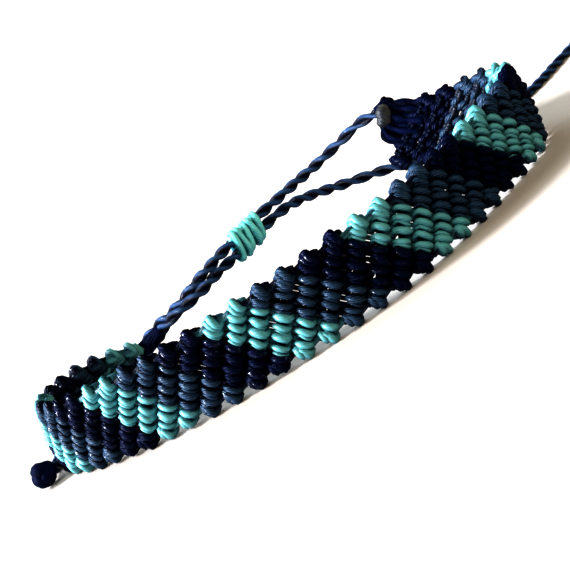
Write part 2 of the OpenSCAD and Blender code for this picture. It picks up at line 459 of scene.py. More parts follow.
NAVY_SHEEN = (0.3, 0.45, 1.0)
# In every finish the deep and lit tones also carry the painted shade of the thread_twist group.
FINISHES = {
    Colour.TURQUOISE: ThreadFinish(
        "turquoise_thread", (0.002, 0.055, 0.085), (0.15, 0.48, 0.51), rough=0.5, waxed_rough=0.4,
        specular=1.0, coat=0.35, relief=0.00002, grain=0.25),
    Colour.DARK_NAVY: ThreadFinish(
        "dark_navy_thread", (0.0, 0.0, 0.001), (0.0014, 0.0034, 0.026), rough=0.5, waxed_rough=0.16,
        specular=0.3, coat=1.0, relief=0.00014, tint=NAVY_SHEEN),
    Colour.SLATE: ThreadFinish(
        "slate_thread", (0.0, 0.001, 0.014), (0.034, 0.095, 0.18), rough=0.5, waxed_rough=0.24,
        specular=0.6, coat=1.0, relief=0.00012, span=(0.5, 1.0), tint=(0.8, 0.9, 1.0)),
}
CLOSING_FINISH = ThreadFinish(
    "closing_cord_thread", (0.0004, 0.0018, 0.02), (0.055, 0.15, 0.34), rough=0.5, waxed_rough=0.3,
    specular=0.5, coat=0.3, lay=1.1, grain=0.3, outward=0.0, span=(0.45, 0.95))
BUNDLE_FINISH = ThreadFinish(
    "bundle_thread", (0.0, 0.0, 0.002), (0.0016, 0.005, 0.035), rough=0.6, waxed_rough=0.5,
    specular=0.1, coat=0.0, outward=0.0, tint=NAVY_SHEEN)
KNOT_FINISH = ThreadFinish(
    "sliding_knot_thread", (0.0, 0.14, 0.18), (0.28, 0.88, 0.9), rough=0.5, waxed_rough=0.4,
    specular=0.2, coat=0.0, relief=0.00001, grain=0.15, outward=0.0, span=(0.4, 0.85))
SEALED_FINISH = ThreadFinish(
    "sealed_ends", (0.015, 0.02, 0.03), (0.13, 0.13, 0.12), rough=0.45, waxed_rough=0.25,
    specular=0.5, coat=0.5, relief=0.00005, grain=0.1, outward=0.0)
SLOTS = {Colour.TURQUOISE: "light_cord", Colour.DARK_NAVY: "dark_cord", Colour.SLATE: "slate_cord"}


# Sub-assemblies
@dataclass
class Dressing:
    """A sub-assembly that makes one piece in the place of one node."""

    node: str
    kind: str
    slot: str

    @property
    def title(self) -> str:
        """The piece's name: its node's and its own kind."""
        return f"{self.node}_{self.kind}"

    def surface(self) -> Surface:
        """The piece's surface, which every kind of piece works out for itself.

        Returns:
            The surface.
        """
        raise NotImplementedError

    def build(self, material: Material) -> Object:
        """Makes the piece, puts it in its node's place and reports it.

        Args:
            material: Its finish.

        Returns:
            The piece.
        """
        piece = self.surface().piece(self.title, material)
        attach(piece, "root")
        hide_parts(self.node)
        log.info("%s: %d faces", piece.name, len(piece.data.polygons))
        return piece


# The closure
KNOT_AT = np.array([-1.4, 18.6, 9.1]) * MM
KNOT_ALONG = unit(np.array([0.86, 0.5, 0.08]))
KNOT_L = 5.8 * MM
CORD_GAP = 1.7 * MM
FAR_ROUTE = np.array([
    [21, 23.4, 12.2], [18.4, 24.5, 11.6], [15.6, 25.1, 11.1], [12.7, 25.1, 10.7], [9.8, 24.5, 10.5],
    [7, 23.3, 10.4], [4.6, 22, 10.3]]) * MM
FAR_TAIL = np.array([
    [-7.7, 15.1, 9.2], [-10.6, 14.5, 8.6], [-13.5, 14.6, 7.7], [-16.2, 15.7, 6.9], [-18.7, 17.3, 6.4],
    [-21.3, 18.4, 5.5], [-23.9, 19.6, 4.4], [-26.5, 20.8, 3.1], [-29.3, 21.8, 2], [-32.3, 22.2, 1.2],
    [-34.9, 21.3, 0.7], [-37.2, 19.4, 0.65], [-38.7, 16.7, 0.65], [-39.3, 13.6, 0.65], [-39.5, 10.4, 0.65],
    [-39.5, 7.4, 0.9], [-39.6, 4.7, 1.5]]) * MM
NEAR_ROUTE = np.array([[-16, 13, 6.8], [-13.2, 13, 7.1], [-10.4, 13.6, 7.4], [-7.6, 15, 7.8]]) * MM
NEAR_TAIL = np.array([
    [4.6, 22.1, 8.6], [7.3, 23.7, 8.2], [10.1, 25, 7.4], [12.9, 25.9, 6.4], [15.9, 26.5, 5.4],
    [19, 26.7, 4.5], [22.2, 26.5, 3.5], [25.3, 26.1, 2.4], [28.4, 25.7, 1.4], [31.5, 25.4, 0.8],
    [34.6, 25.2, 0.65], [37.8, 25.2, 0.65], [41, 25.5, 0.65], [44, 26.3, 0.65], [46.8, 27.8, 0.65],
    [49.4, 29.7, 0.65], [52, 31.9, 0.65], [54.6, 34.2, 0.65], [57.6, 36.5, 0.65], [60.5, 38.8, 0.9],
    [63.2, 40.9, 1.57]]) * MM


def through_knot(side: int) -> Array:
    """A cord's three points in the sliding knot: its middle and one past each end.

    Args:
        side: 1 for the upper cord, -1 for the lower.

    Returns:
        The points, (3, 3).
    """
    t = np.array([-1, 0, 1])[:, None]
    return KNOT_AT + np.array([0, 0, side * CORD_GAP / 2]) + t * (KNOT_L / 2 + MM) * KNOT_ALONG


@dataclass
class ClosingCord(Dressing):
    """A two-ply cord along its line."""

    line: Array
    with_pieces: tuple[str, ...]
    diameter: float = 1.3 * MM
    lay: float = 5.8 * MM
    step: float = 0.26 * MM
    sides: int = 9
    ply_share: float = 0.33
    apart: float = 0.92
    sunk: float = 0.2 * MM

    @cached_property
    def curve(self) -> Array:
        """The cord's smooth middle line, at steps of about a quarter of a millimetre."""
        reach = np.linalg.norm(np.diff(self.line, axis=0), axis=1).sum()
        return smooth_line(self.line, int(reach / self.step))

    def surface(self) -> Surface:
        """Two round plies wound about the middle line.

        Formula: ply p runs at middle + a * (cos(w) n + sin(w) m), where n points up, w = 2 pi * distance /
        lay + pi * p plus a slow sine, and a is a little less than a ply's radius. A ply swells and thins a
        little along its length. Where the cord lies on the floor it is let down by `sunk`, and rests there.

        Returns:
            Both plies.
        """
        path = self.curve
        t = tangents(path, False)
        rise = np.array([0.2, 0.1, 1.0])
        up = unit(rise - dot(rise, t) * t)
        side = np.cross(t, up)
        gone = np.linspace(0, len(path) * self.step, len(path)) / MM
        ply = self.diameter * self.ply_share
        low = np.clip(3 - path[:, 2] / (0.4 * MM), 0, 1) * self.sunk
        surface = Surface()
        for turn in (0.0, math.pi):
            w = ROUND * gone * MM / self.lay + turn + 0.5 * np.sin(gone * 0.31 + len(self.node))
            off = ply * self.apart * (np.cos(w)[:, None] * up + np.sin(w)[:, None] * side)
            swell = ply * (1 + 0.08 * np.sin(gone * 1.3 + turn) + 0.06 * np.sin(gone * 3.1 + 2 * turn))
            strand = path + off
            strand[:, 2] = np.maximum(strand[:, 2] - low, swell)
            surface.add(single(strand, off, swell, self.sides))
        return surface

    def build(self, material: Material) -> Object:
        """Args:
            material: Its finish.

        Returns:
            The cord.
        """
        piece = super().build(material)
        return piece


# The band
@dataclass(frozen=True)
class Loop:
    """The band's form: its line on the floor, its lean and lift, and its slanted ribs, as in the CAD."""

    band_w: float = 9.1
    band_t: float = 2.4
    groove: float = 0.45
    rib_pitch: float = 3.1
    edge_ribs: int = 42
    rib_lean: float = 7.0
    rib_knots: int = 5
    edge_scallop: float = 0.3
    steps: int = 184
    bulge: float = 0.46
    turn_blend: float = 0.015
    start: Triple = (-179.0, -55.0, 0.08)
    table: Rows = (
        (0.013, 7, -50, 0.08), (0.070, 35, -27, 0.05), (0.101, 74, -10, 0.01), (0.057, 18, -5, 0.01),
        (0.138, 25, -4, 0), (0.135, 15, -4, 0), (0.112, 35, -3, 0), (0.112, 8, -5, 0.02),
        (0.047, 17, 1, 0.02), (0.111, 77, 18, 0.09), (0.057, 13, 26, 0.25), (0.047, 6, 28, 0.45))

    @cached_property
    def rib_total(self) -> int:
        """Number of ribs, with the short ones at both ends."""
        return self.edge_ribs + self.rib_knots - 1

    @cached_property
    def run(self) -> float:
        """Length of the band's line, in millimetres."""
        return self.rib_total * self.rib_pitch - self.rib_lean

    @cached_property
    def knots(self) -> Array:
        """Distances along the line at which the table's stretches meet."""
        return np.concatenate([[0], np.cumsum([row[0] for row in self.table])]) * self.run

    def heading(self, s: Array) -> Array:
        """Heading of the line, in degrees: straight lines between the stretches.

        Args:
            s: Distance along the line, in millimetres.

        Returns:
            The headings.
        """
        turns = np.concatenate([[0], np.cumsum([row[1] for row in self.table])])
        return np.interp(s, self.knots, self.start[0] + turns)

    def along(self, column: int, s: Array) -> Array:
        """Lean or lift along the line, in straight lines between the stretches.

        Args:
            column: 2 for the lean, in degrees, 3 for the lift, as a share of the width.
            s: Distance along the line, in millimetres.

        Returns:
            The values.
        """
        return np.interp(s, self.knots, [self.start[column - 1]] + [row[column] for row in self.table])

    def turn_rate(self, s: Array) -> Array:
        """Curvature of the line: the turn over a short stretch, by its length.

        Args:
            s: Distance along the line, in millimetres.

        Returns:
            The curvature, per millimetre.
        """
        d = self.turn_blend * self.run
        return np.radians(self.heading(s + d) - self.heading(s - d)) / (2 * d)

    @cached_property
    def route(self) -> Array:
        """The line's points: the running sum of short steps along the heading in their middle."""
        step = self.run / self.steps
        turn = np.radians(self.heading((np.arange(self.steps) + 0.5) * step))
        moves = step * np.stack([np.cos(turn), np.sin(turn), np.zeros_like(turn)], axis=-1)
        return np.vstack([np.zeros(3), np.cumsum(moves, axis=0)])

    def loose_point(self, k: Array, v: Array, o: Array) -> Array:
        """A point of the band before it is centred, in millimetres.

        Formula: s = k * pitch + (v - 1) * lean along the line, h = (v - 1/2) * width across it, and
        q = o - bulge * curvature * h^2 / 2 outward. The point is the line's own, plus outward
        * (h sin + q cos) and up * (lift + (width / 2 + h) cos - q sin) of the lean.

        Args:
            k: Rib number from the near end.
            v: Place across the band, from 0 at the lower edge to 1 at the upper.
            o: Distance outward from the middle of the thickness.

        Returns:
            Points in millimetres.
        """
        s = k * self.rib_pitch + (v - 1) * self.rib_lean
        h = (v - 0.5) * self.band_w
        lean = np.radians(self.along(2, s))
        q = o - self.bulge * self.turn_rate(s) * h * h / 2
        step = self.run / self.steps
        i = np.clip(np.floor(s / step), 0, self.steps - 1).astype(int)
        f = (s / step - i)[..., None]
        turn = np.radians(self.heading(s))
        out = np.stack([np.sin(turn), -np.cos(turn), np.zeros_like(turn)], axis=-1)
        lift = self.along(3, s) * self.band_w + (self.band_w / 2 + h) * np.cos(lean) - q * np.sin(lean)
        at = self.route[i] * (1 - f) + self.route[i + 1] * f
        across = h * np.sin(lean) + q * np.cos(lean)
        return at + out * across[..., None] + lift[..., None] * UP

    @cached_property
    def centre(self) -> Array:
        """Middle of the band in X and Y and its lowest point, from the same rings as the CAD solid."""
        n, total = self.rib_knots, self.rib_total
        rim = np.array([[0, 0.4], [0.06, 0.85], [0.2, 1], [0.4, 1],
                        [0.6, 1], [0.8, 1], [0.94, 0.85], [1, 0.4]])
        k = (np.arange(total * 4 + 1) / 4)[:, None]
        low = np.clip((n - 0.5 - k) / n, 0, 1 - 1 / n)
        high = np.clip((total + 0.5 - k) / n, 1 / n, 1)
        reach = self.edge_scallop * (1 - np.cos(ROUND * k)) / 2 / self.band_w
        half = self.band_t / 2 - self.groove * ((1 + np.cos(ROUND * k)) / 2) ** 2
        v = low - reach + rim[:, 0] * (high - low + 2 * reach)
        both = np.concatenate([self.loose_point(k + 0 * v, v, side * rim[:, 1] * half) for side in (1, -1)])
        lowest, highest = both.reshape(-1, 3).min(axis=0), both.reshape(-1, 3).max(axis=0)
        return np.array([(lowest[0] + highest[0]) / 2, (lowest[1] + highest[1]) / 2, lowest[2]])

    def point(self, k: Array, v: Array, o: Array) -> Array:
        """A point of the band in place: the loose point, less the band's centre.

        Args:
            k: Rib number.
            v: Place across the band.
            o: Distance outward, in millimetres.

        Returns:
            Points in metres.
        """
        k, v, o = np.broadcast_arrays(np.asarray(k, float), v, o)
        return (self.loose_point(k, v, o) - self.centre) * MM

    @cached_property
    def slant(self) -> float:
        """Angle between a rib and the line across the band, in radians."""
        return math.atan2(self.rib_lean, self.band_w)

    @cached_property
    def rib_l(self) -> float:
        """Length of a full rib, in millimetres."""
        return self.band_w / math.cos(self.slant)

    def on_rib(self, rib: Array, x: Array, y: Array, o: Array) -> Array:
        """A point by its place on a rib, in metres.

        Formula: k = rib + 1/2 + x / (pitch cos(slant)), and v = (y cos(slant) - x sin(slant)) / width.

        Args:
            rib: Rib number.
            x: Distance square to the rib, towards the next one, in millimetres.
            y: Distance along the rib from the lower edge, in millimetres.
            o: Distance outward, in millimetres.

        Returns:
            Points in metres.
        """
        c, s = math.cos(self.slant), math.sin(self.slant)
        k = rib + 0.5 + x / (self.rib_pitch * c)
        return self.point(k, (y * c - x * s) / self.band_w, o)


@dataclass(frozen=True)
class Wrap:
    """One wrap of a knot round its rib, in millimetres: its place, tilt, reach, thickness and depth."""

    along: float
    tilt: float
    reach: float
    thick: float
    wide: float
    shift: float = 0.0
    sunk: float = 0.0


@dataclass
class Band(Dressing):
    """The band's knots in one colour, strand by strand."""

    loop: Loop
    colour: Colour
    rng: np.random.Generator
    order: str = "TKKDDT"
    stations: int = 12
    sides: int = 6
    middle: tuple[Wrap, ...] = (
        Wrap(0.60, -0.12, 0.75, 0.52, 0.47), Wrap(-0.46, -0.2, 0.73, 0.52, 0.44),
        Wrap(-1.06, -0.35, 0.62, 0.42, 0.26, 0.0, 0.28))
    top: tuple[Wrap, ...] = (
        Wrap(0.60, -0.68, 0.70, 0.60, 0.56, 0.06), Wrap(-0.04, -0.6, 0.74, 0.50, 0.42, -0.06, 0.1),
        Wrap(-0.62, -0.3, 0.74, 0.52, 0.42), Wrap(-1.08, -0.35, 0.62, 0.42, 0.26, 0.0, 0.28))
    bottom: tuple[Wrap, ...] = (
        Wrap(0.62, -0.12, 0.75, 0.52, 0.46), Wrap(-0.22, -0.34, 0.72, 0.50, 0.38),
        Wrap(-0.36, -0.6, 0.58, 0.58, 0.54, 0.14, 0.04), Wrap(-0.44, -1.05, 0.42, 0.46, 0.44, -0.46, 0.1))
    uneven: tuple[float, ...] = (0.06, 0.08, 0.05, 0.05, 0.1, 0.07)
    link_rows: Rows = ((0.66, -0.36), (-0.08, -0.42), (-0.84, -0.36), (0.1, -0.74))
    link_corners: Rows = (
        (0, 0.5, 0.0, 0.0), (0, 1.23, -0.1, -0.08), (1, -0.5, 0.22, 0.0))
    link: float = 0.42
    loose_link: float = 0.27
    close_share: float = 0.8
    upper_turn: Rows = (
        (0, 0.45, -0.55, 0.1), (0, 1.1, -0.3, 0.2), (1, -0.7, -1.25, 0.2))
    lower_turn: Rows = (
        (0, 0.5, 1.15, -0.1), (1, -1.05, 0.8, -0.1), (1, -0.4, 1.05, -0.1))
    turn: float = 0.38
    core: float = 0.34

    @cached_property
    def knots(self) -> Array:
        """All knots, one row each: rib, row from the top, and the index of its colour."""
        n, edge = self.loop.rib_knots, self.loop.edge_ribs
        rib, row = np.meshgrid(np.arange(self.loop.rib_total), np.arange(1, n + 1), indexing="ij")
        keep = (rib >= row - 1) & (rib <= edge + row - 2)
        return np.stack([rib[keep], row[keep], (row - rib - 1)[keep] % len(self.order)], axis=-1)

    def middles(self, row: Array) -> Array:
        """Distance of a knot's middle from its rib's lower end, in millimetres."""
        return self.loop.rib_l * (1 - (row - 0.5) / self.loop.rib_knots)

    def wraps(self, rib: Array, row: Array, wrap: Wrap) -> Surface:
        """The same wrap of many knots.

        Formula: with a once round, x = shift + reach * cos(a)^0.8, outward = (half thickness - thick - sunk)
        * sin(a)^0.75, and y = the knot's middle + along + tilt * reach * 1.7 cos(a) sin(a). The strand is
        fullest over both faces and thinner where it turns. Each knot differs a little, by `uneven`.

        Args:
            rib: Rib numbers.
            row: Rows.
            wrap: The wrap's form.

        Returns:
            The wraps as closed tubes.
        """
        a = (np.arange(self.stations) + 0.5)[None, :] * ROUND / self.stations
        jitter = self.rng.normal(0, 1, (6, len(rib), 1)) * np.reshape(self.uneven, (6, 1, 1))
        reach, full = wrap.reach * (1 + jitter[0]), 1 + jitter[1]
        out = (self.loop.band_t / 2 - wrap.thick - wrap.sunk) * (1 + jitter[3])
        cos, sin = np.cos(a), np.sin(a)
        x = wrap.shift + jitter[2] + reach * np.sign(cos) * np.abs(cos) ** 0.8
        o = out * np.sign(sin) * np.abs(sin) ** 0.75
        tilt = wrap.tilt + jitter[4]
        y = self.middles(row)[:, None] + wrap.along + jitter[5] + tilt * reach * 1.7 * cos * sin
        path = self.loop.on_rib(rib[:, None], x, y, o)
        away = self.loop.on_rib(rib[:, None], x + 0.1 * cos, y, o + 0.1 * sin)
        radius = np.stack([wrap.thick * full * (0.72 + 0.28 * np.abs(sin)) * MM,
                           wrap.wide * full * (0.7 + 0.3 * np.abs(sin)) * MM], axis=-1)
        # The section starts on the wrap's inner side, so that the painted shade lightens its outer side and
        # darkens the side towards the rib.
        return swept(path, away - path, radius, self.sides, closed=True, first=math.pi)

    def arcs(self, ends: list[Array], radius: float | Array, count: int) -> Surface:
        """Short strands from a to c that bend towards b: (1-t)^2 a + 2t(1-t) b + t^2 c.

        Args:
            ends: The points a, b and c of all strands, in metres.
            radius: Radius in millimetres, one for all or one for each.
            count: Stations along a strand.

        Returns:
            The strands.
        """
        a, b, c = (point[:, None] for point in ends)
        t = np.linspace(0, 1, count)[None, :, None]
        path = (1 - t) ** 2 * a + 2 * t * (1 - t) * b + t ** 2 * c
        normal = np.broadcast_to(np.array([0.13, 0.21, 1.0]), path.shape)
        size = np.reshape(radius, (-1, 1, 1)) * MM * np.ones((*path.shape[:2], 2))
        return swept(path, normal, size, self.sides)

    def links(self, rib: Array, row: Array) -> Surface:
        """The strands that pass from each knot to the next rib, a row lower, in the groove and inside; they
        are painted all in the dark tone as painted shade.

        One in five of the third kind is thinner, and leaves a small hole open.

        Args:
            rib: Ribs that they leave.
            row: Rows that they leave.

        Returns:
            The strands.
        """
        surface = Surface()
        some = np.where(self.rng.random(len(rib)) < self.close_share, self.link, self.loose_link)
        for (along, depth), radius in zip(self.link_rows, (self.link, self.link, some, self.link)):
            ends = [self.loop.on_rib(rib + step, x, self.middles(row + step) + along + y, depth + o)
                    for step, x, y, o in self.link_corners]
            surface.add(self.arcs(ends, radius, 5))
        # Painted shade: with the way round set to 0 the shade mask is 0 everywhere, so the links in the
        # grooves take the deep tone.
        surface.quad_map[..., 1] = 0
        return surface

    def turns(self, rib: Array, corners: Rows, base: float) -> Surface:
        """The strands that leave a rib at one edge and go round into the next rib.

        Args:
            rib: Ribs that they leave.
            corners: Each corner's step in ribs, and its x, y and outward distance in millimetres.
            base: Distance along the rib from which y counts.

        Returns:
            The strands.
        """
        ends = [self.loop.on_rib(rib + step, x, base + y, o) for step, x, y, o in corners]
        return self.arcs(ends, self.turn, 7)

    def cores(self, rib: Array) -> Surface:
        """The cord inside each rib: a straight line from the rib's lower end to its upper.

        Args:
            rib: Rib numbers.

        Returns:
            The cords.
        """
        n, edge, inset = self.loop.rib_knots, self.loop.edge_ribs, 0.1
        low = self.loop.rib_l * np.clip((n - 1 - rib) / n, 0, None) + inset
        high = self.loop.rib_l * np.clip(1 - (rib - edge + 1) / n, None, 1) - inset
        t = np.linspace(0, 1, 9)[None, :]
        y = low[:, None] * (1 - t) + high[:, None] * t
        path = self.loop.on_rib(rib[:, None], 0 * y, y, 0 * y)
        away = self.loop.on_rib(rib[:, None], 0 * y, y, 0 * y + 0.1)
        return swept(path, away - path, self.core * MM * np.ones((*path.shape[:2], 2)), self.sides)

    def surface(self) -> Surface:
        """Every wrap, link and turning strand of the colour, and with the dark navy all cores too.

        Returns:
            The surface.
        """
        n, edge, total = self.loop.rib_knots, self.loop.edge_ribs, self.loop.rib_total
        mine = np.array([letter == self.colour.value for letter in self.order])
        rib, row, _ = self.knots[mine[self.knots[:, 2]]].T
        surface = Surface()
        first = (row == 1) | (rib == edge + row - 2)
        last = (row == n) | (rib == row - 1)
        for chosen, wraps in ((first, self.top), (last & ~first, self.bottom), (~first & ~last, self.middle)):
            for wrap in wraps:
                surface.add(self.wraps(rib[chosen], row[chosen], wrap))
        onward = (row < n) & (rib < total - 1)
        surface.add(self.links(rib[onward], row[onward]))
        ribs = np.arange(total)
        if self.colour is Colour.DARK_NAVY:
            surface.add(self.cores(ribs))
        leading = mine[(-ribs - 1) % len(self.order)] & (ribs < edge - 1)
        surface.add(self.turns(ribs[leading], self.upper_turn, self.loop.rib_l))
        leaving = mine[(n - 1 - ribs) % len(self.order)] & (ribs >= n - 1) & (ribs < total - 1)
        return surface.add(self.turns(ribs[leaving], self.lower_turn, 0.0))


# Ends of the band
@dataclass
class Gather(Dressing):
    """The bundle into which the cords of one cut end are drawn, whipped where the closing cord leaves it."""

    loop: Loop
    target: Array
    edge: float
    foot: float
    face: int
    tie_at: tuple[float, float]
    low: float
    high: float
    strands: int = 12
    gather_d: float = 2.2
    gather_l: float = 2.8
    lumps: float = 0.3
    bulge: float = 0.55
    inner: float = 0.45
    thread: float = 0.34
    thin: float = 0.3
    first: float = 0.13
    stations: int = 24
    sides: int = 6
    whippings: tuple[float, ...] = (0.1, 0.38, 0.66, 0.94)

    def seat(self, v: Array, o: Array) -> Array:
        """Points beside the cut end, across it and outward.

        Args:
            v: Place across the band.
            o: Distance outward, in millimetres.

        Returns:
            Points in metres.
        """
        return self.loop.point(self.foot - self.loop.rib_knots * v, v, self.face * o)

    @cached_property
    def tie(self) -> Array:
        """Middle of the bundle."""
        return self.loop.point(*self.tie_at, 0.0)

    @cached_property
    def axis(self) -> Array:
        """Direction of the bundle, towards the cord's first point."""
        return unit(self.target - self.tie)

    @cached_property
    def away(self) -> Array:
        """Direction in which the band would go on past its cut end."""
        return unit(self.loop.point(self.edge + self.face, 0.5, 0.0) - self.loop.point(self.edge, 0.5, 0.0))

    @cached_property
    def exit(self) -> Array:
        """Where the closing cord leaves the bundle."""
        return self.tie + self.axis * self.gather_l / 2 * MM

    def surface(self) -> Surface:
        """The strands and the whipping.

        Formula: a strand runs straight from its place on the cut end to its place on the bundle's ring, plus
        away * bulge * diameter * low * sin(pi t), where low is 1 for the lowest strand and 0 for the highest,
        and then to the cord's end. Its radius swells by `lumps` in slow waves. The whipping is four rings
        about the axis, each smaller than the one before it.

        Returns:
            The surface.
        """
        surface = Surface()
        up = unit(self.seat(self.high, 0.0) - self.seat(self.low, 0.0))
        up = unit(up - dot(up, self.axis) * self.axis)
        side = np.cross(self.axis, up)
        turn = np.linspace(0, ROUND, self.strands, endpoint=False) + self.first
        ring = np.cos(turn)[:, None] * up + np.sin(turn)[:, None] * side
        t = np.linspace(0, 1, self.stations)[None, :, None]
        waves = 2.8 * np.linspace(0, 1, self.stations + 2) + 0.37 * np.arange(self.strands)[:, None]
        size = (self.thin + self.lumps * np.abs(np.sin(math.pi * waves)))[..., None] * MM * np.ones(2)
        for share in (1.0, self.inner):
            v = (self.low + self.high) / 2 + share * (self.high - self.low) / 2 * np.cos(turn)
            start = self.seat(v, share * self.loop.band_t * 0.33 * np.sin(turn))[:, None]
            bundle = (self.tie + share * ring * (self.gather_d / 2 - self.thread) * MM)[:, None]
            low = ((1 - share * np.cos(turn)) / 2)[:, None, None]
            swell = self.away * self.bulge * self.gather_d * MM * low * np.sin(math.pi * t)
            end = (self.exit + share * ring * self.thread * MM)[:, None]
            path = np.concatenate([start * (1 - t) + bundle * t + swell, (bundle + end) / 2, end], axis=1)
            normal = np.broadcast_to(ring[:, None] + 0.3 * side, path.shape)
            surface.add(swept(path, normal, size, self.sides))
        a = np.linspace(0, ROUND, 20, endpoint=False)[:, None]
        round_it = np.cos(a) * up + np.sin(a) * side
        for share in self.whippings:
            middle = self.tie + self.axis * share * self.gather_l / 2 * MM
            path = middle + round_it * (0.8 - 0.32 * share) * MM + self.axis * 0.1 * MM * np.cos(a)
            surface.add(single(path, round_it, self.thin * MM, self.sides, closed=True))
        return surface


@dataclass
class Lump(Dressing):
    """A rounded lump on a bundle, where strands are knotted or their cut ends are sealed."""

    middle: Array
    axis: Triple
    length: float
    width: float
    stations: int = 15
    sides: int = 14

    def surface(self) -> Surface:
        """A lump with slow dents.

        Formula: a tube along the axis with radius width / 2 * sqrt(1 - (2t - 1)^2) * (1 + two slow sines of
        t), on a middle line that sways by a tenth of the width.

        Returns:
            The surface.
        """
        t = (1 - np.cos(np.linspace(0.06, 0.94, self.stations) * math.pi)) / 2
        axis = unit(np.array(self.axis))
        side = unit(np.cross(axis, np.array([0.3, 1.0, 0.2])))
        dents = 1 + 0.12 * np.sin(9 * t) + 0.07 * np.sin(17 * t)
        radius = self.width / 2 * np.sqrt(1 - (2 * t - 1) ** 2) * dents
        sway = side * (self.width * 0.1 * np.sin(5 * t))[:, None]
        path = self.middle + (axis * ((t - 0.5) * self.length)[:, None] + sway) * MM
        return single(path, side, radius * MM, self.sides)


@dataclass
class SlidingKnot(Dressing):
    """The wraps that hold both cords side by side."""

    knot_d: float = 4.4
    thick: float = 0.72
    wide: float = 0.52
    fill: float = 0.98
    stations: int = 30
    sides: int = 10
    places: tuple[float, ...] = (-2.3, -1.2, -0.1, 1.05, 2.2)
    slants: tuple[float, ...] = (0.5, 0.15, 0.75, 0.15, 0.6)
    sizes: tuple[float, ...] = (1.06, 1.14, 0.95, 1.18, 1.06)

    def surface(self) -> Surface:
        """Rounded wraps, each a strand round both cords, over two straight tubes that fill their inside.

        Formula: with a once round, the path is middle + side * R cos(a) + up * (gap / 2 * sign + R sin(a))
        + along * slant * sin(a), where sign passes smoothly from -1 to 1.

        Returns:
            The wraps.
        """
        up = unit(UP - KNOT_ALONG[2] * KNOT_ALONG)
        side = np.cross(up, KNOT_ALONG)
        a = np.linspace(0, ROUND, self.stations, endpoint=False)[:, None]
        around = np.cos(a) * side + np.sin(a) * up
        sign = np.tanh(2.4 * np.sin(a))
        surface = Surface()
        for place, slant, size in zip(self.places, self.slants, self.sizes):
            reach = ((self.knot_d - CORD_GAP / MM) / 2 * size - self.thick) * MM
            along = KNOT_ALONG * (place + slant * np.sin(a)) * MM
            path = KNOT_AT + along + around * reach + up * CORD_GAP / 2 * sign
            swell = 1 + 0.12 * np.sin(2 * a + place) + 0.07 * np.sin(5 * a + 3 * place)
            section = np.array([self.thick, self.wide]) * MM * swell
            surface.add(swept(path[None], around[None], section[None], self.sides, closed=True))
        t = np.linspace(-0.42, 0.42, 10)[:, None]
        for lift in (-0.5, 0.5):
            path = KNOT_AT + KNOT_ALONG * KNOT_L * t + up * CORD_GAP * lift
            surface.add(single(path, up, self.fill * MM, self.sides))
        return surface


@dataclass
class Stopper(Dressing):
    """The knot at the end of a closing cord."""

    line: Array
    length: float = 3.4
    width: float = 3.6
    strand: float = 1.18
    turned: float = -30.0
    stations: int = 64
    sides: int = 10

    def surface(self) -> Surface:
        """A cord in an overhand knot, with its cut end.

        Formula: the middle line is the trefoil (sin t + 2 sin 2t, 2 cos 2t - cos t, sin 3t), made as wide and
        as long as the knot, less the strand's own thickness, and turned about the cord.

        Returns:
            The surface.
        """
        along = unit(self.line[-1] - self.line[-2])
        up = unit(UP - along[2] * along)
        side = np.cross(along, up)
        t = np.linspace(0, ROUND, self.stations, endpoint=False)[:, None]
        x = (np.sin(t) + 2 * np.sin(2 * t)) / 3 * (self.width / 2 - self.strand)
        y = (2 * np.cos(2 * t) - np.cos(t)) / 3 * (self.width / 2 - self.strand)
        z = np.sin(3 * t) * (self.length / 2 - self.strand)
        turn = math.radians(self.turned)
        x, y = x * math.cos(turn) - y * math.sin(turn), x * math.sin(turn) + y * math.cos(turn)
        middle = self.line[-1] + along * self.length / 2 * MM
        path = middle + (x * side + y * up + z * along) * MM
        return single(path, path - middle + along * 1e-5, self.strand * MM, self.sides, closed=True)


